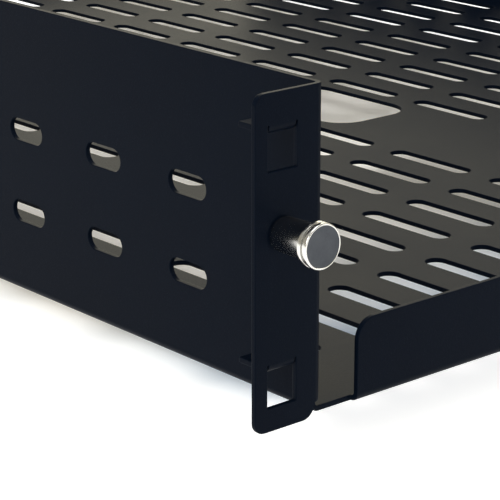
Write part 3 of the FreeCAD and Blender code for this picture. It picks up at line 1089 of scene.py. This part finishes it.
@dataclass(frozen=True)
class Softbox:
    """A square area lamp aimed at a point."""

    name: str
    place: tuple[float, float, float]
    target: tuple[float, float, float]
    width: float
    power: float
    colour: tuple[float, float, float] = (1.0, 1.0, 1.0)

    def hang(self) -> bpy.types.Object:
        """Put the lamp in the scene."""
        light = bpy.data.lights.new(self.name, "AREA")
        light.size = self.width
        light.energy = self.power
        light.color = self.colour
        lamp = bpy.data.objects.new(self.name, light)
        lamp.location = self.place
        aim = Vector(self.target) - Vector(self.place)
        lamp.rotation_euler = aim.to_track_quat("-Z", "Y").to_euler()
        bpy.context.scene.collection.objects.link(lamp)
        return lamp


@dataclass(frozen=True)
class Viewpoint:
    """A camera by its place, heading and lens."""

    place: tuple[float, float, float] = (-0.5580, -0.3678, 0.2030)
    heading: float = 40.7
    dip: float = 17.72
    roll: float = -0.05
    lens: float = 153.3

    def set_up(self) -> bpy.types.Object:
        """Make the camera the scene's own."""
        data = bpy.data.cameras.new("camera")
        data.lens = self.lens
        data.sensor_width = 36.0
        data.clip_start = 0.02
        data.clip_end = 60.0
        camera = bpy.data.objects.new("camera", data)
        turn = Matrix.Rotation(math.radians(-self.heading), 4, "Z")
        tilt = Matrix.Rotation(math.radians(90 - self.dip), 4, "X")
        bank = Matrix.Rotation(math.radians(self.roll), 4, "Z")
        camera.matrix_world = Matrix.Translation(self.place) @ turn @ tilt @ bank
        bpy.context.scene.collection.objects.link(camera)
        bpy.context.scene.camera = camera
        return camera


@dataclass
class Studio:
    """Pale floor, soft world light and softboxes round the shelf."""

    drop: float = 0.02
    reach: float = 14.0
    glow: float = 0.8
    # Painted shadow under the shelf: the floor's glow drops to this level there, inset and blurred as
    # below.
    painted_shadow_glow: float = 0.27
    inset: float = 0.04
    blur: float = 0.02
    # Where the painted shadow's tint turns from cool to warm, as shares of the shelf's depth.
    cool_until: float = 0.12
    warm_from: float = 0.3
    open_light: tuple[float, ...] = (0.97, 0.98, 1.0, 1)
    # The painted shadow's cool and warm tints.
    painted_shadow_cool: tuple[float, ...] = (0.62, 0.8, 1.0)
    painted_shadow_warm: tuple[float, ...] = (1.0, 0.95, 0.84)

    def build(self) -> None:
        """Set up everything that isn't part of the object."""
        self.world()
        self.floor()
        for lamp in self.lamps():
            lamp.hang()
        Viewpoint().set_up()
        bpy.context.scene.view_settings.view_transform = "Standard"

    def lamps(self) -> list[Softbox]:
        """The lamps: overhead, left, a weak one on the right and a warm one low behind."""
        centre = (0.0, 0.2, 0.03)
        return [
            Softbox("overhead", (-0.3, -0.2, 2.2), centre, 1.6, 26.0, (1.0, 0.98, 0.95)),
            Softbox("left", (-2.0, -0.9, 1.1), centre, 1.1, 22.0, (0.97, 0.97, 0.9)),
            Softbox("right", (1.7, -1.5, 1.0), centre, 1.0, 8.0, (1.0, 0.96, 0.9)),
            Softbox("behind", (2.0, 2.55, 1.05), centre, 2.4, 42.0, (1.0, 0.94, 0.74)),
        ]

    def world(self) -> None:
        """Soft light that is pale near the floor and a warm grey above."""
        world = bpy.data.worlds.new("studio")
        bpy.context.scene.world = world
        world.use_nodes = True
        graph = NodeGraph(world.node_tree)
        way = graph.node("ShaderNodeTexCoord", output="Generated")
        split = graph.node("ShaderNodeSeparateXYZ", {}, {0: way}, "Z")
        stops = [
            (0.0, (0.85, 0.85, 0.85)),
            (0.5, (0.62, 0.6, 0.54)),
            (0.56, (0.4, 0.375, 0.3)),
            (0.72, (0.36, 0.34, 0.29)),
            (1.0, (0.5, 0.5, 0.5)),
        ]
        ramp = graph.node("ShaderNodeValToRGB", {"stops": stops}, {"Fac": split * 0.5 + 0.5})
        soft = graph.node("ShaderNodeBackground", {}, {"Color": ramp, "Strength": 1.0})
        white = graph.node("ShaderNodeBackground", {}, {"Color": (1, 1, 1, 1), "Strength": 1.0})
        seen = graph.node("ShaderNodeLightPath", output="Is Camera Ray")
        mixed = graph.node("ShaderNodeMixShader", {}, {0: seen, 1: soft, 2: white})
        graph.node("ShaderNodeOutputWorld", {}, {"Surface": mixed})

    def painted_shadow_masks(self, graph: SurfaceGraph) -> tuple[Wire, Wire]:
        """Where the floor lies under the shelf.

        Args:
            graph: The floor's own material.

        Returns:
            A painted-shadow mask that is 1 under the shelf, and one that rises from its front to its
            middle to tint that painted shadow from cool to warm.
        """
        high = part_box("shelf_body")[1]
        split = graph.node("ShaderNodeSeparateXYZ", {}, {0: graph.place}, "X")
        parts = split.socket.node.outputs
        across, along = abs(Wire(graph, parts["X"])), Wire(graph, parts["Y"])

        def rise(value: Wire, start: float, end: float) -> Wire:
            """A smooth step from 0 at start to 1 at end."""
            limits = {"Value": value, "From Min": start, "From Max": end}
            return graph.node("ShaderNodeMapRange", {"interpolation_type": "SMOOTHSTEP"}, limits)

        # The painted shadow's mask: within the sides, behind the front inset and before the rear.
        side = high[0] - self.inset
        inside = 1 - rise(across, side - self.blur, side)
        front = rise(along, self.inset, self.inset + self.blur)
        rear = 1 - rise(along, high[1], high[1] + self.blur)
        # How far back the painted shadow's tint has turned from cool to warm.
        back = rise(along, high[1] * self.cool_until, high[1] * self.warm_from)
        return inside * front * rear, back

    def floor(self) -> None:
        """A pale floor close below the shelf, with a soft shadow painted under it."""
        half = self.reach / 2
        mesh = bpy.data.meshes.new("studio_floor")
        corners = [(-half, -half, 0), (half, -half, 0), (half, half, 0), (-half, half, 0)]
        mesh.from_pydata([(x, y, -self.drop) for x, y, _ in corners], [], [(0, 1, 2, 3)])
        ground = bpy.data.objects.new("studio_floor", mesh)
        bpy.context.scene.collection.objects.link(ground)
        graph = SurfaceGraph("studio_floor")
        matt = graph.node(
            "ShaderNodeBsdfDiffuse", {}, {"Color": (0.8, 0.79, 0.77, 1), "Roughness": 0.5}
        )
        path = graph.node("ShaderNodeLightPath", output="Is Camera Ray").socket.node.outputs
        rays = ("Is Camera Ray", "Is Glossy Ray", "Is Transmission Ray")
        seen = Wire(graph, path[rays[0]]) + Wire(graph, path[rays[1]]) + Wire(graph, path[rays[2]])
        # Painted shadow: the floor's glow is lowered under the shelf and tinted cool at the front, warm
        # further back.
        under, back = self.painted_shadow_masks(graph)
        level = graph.math("MINIMUM", seen, 1.0)
        level = level * (self.glow - under * (self.glow - self.painted_shadow_glow))
        shade = graph.tint(back, self.painted_shadow_cool, self.painted_shadow_warm)
        choice = {0: under, 6: self.open_light, 7: shade}
        colour = graph.node("ShaderNodeMix", {"data_type": "RGBA"}, choice, 2)
        glow = graph.node("ShaderNodeEmission", {}, {"Color": colour, "Strength": level})
        both = graph.node("ShaderNodeAddShader", {}, {0: matt, 1: glow})
        graph.node("ShaderNodeOutputMaterial", {}, {"Surface": both})
        mesh.materials.append(graph.material)


# ---------------------------------------------------------------- the whole


def main() -> None:
    """Build the shelf, its plungers and the studio."""
    logging.basicConfig(level=logging.INFO, format="%(name)s: %(message)s")
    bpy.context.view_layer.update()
    low, high = (Vector(corner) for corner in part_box("left_plunger_knob"))
    middle = (low + high) / 2
    column, height = -middle.x, middle.z

    coat = PowderCoat().material()
    chrome = TurnedChrome(column, height, low.y, (high.x - low.x) / 2 - 0.5 * MM).material()
    steel = TurnedSteel().material()

    shelf = FoldedShelf(coat, column, height).build()
    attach(shelf, "shelf")
    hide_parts("shelf_body")
    log.info("%s: %d faces", shelf.name, len(shelf.data.polygons))

    coil = Coil(steel)
    for side in Side:
        for piece in Plunger(side, chrome, steel, coil).build():
            log.info("%s: %d faces", piece.name, len(piece.data.polygons))

    Studio().build()


if __name__ == "__main__":
    main()
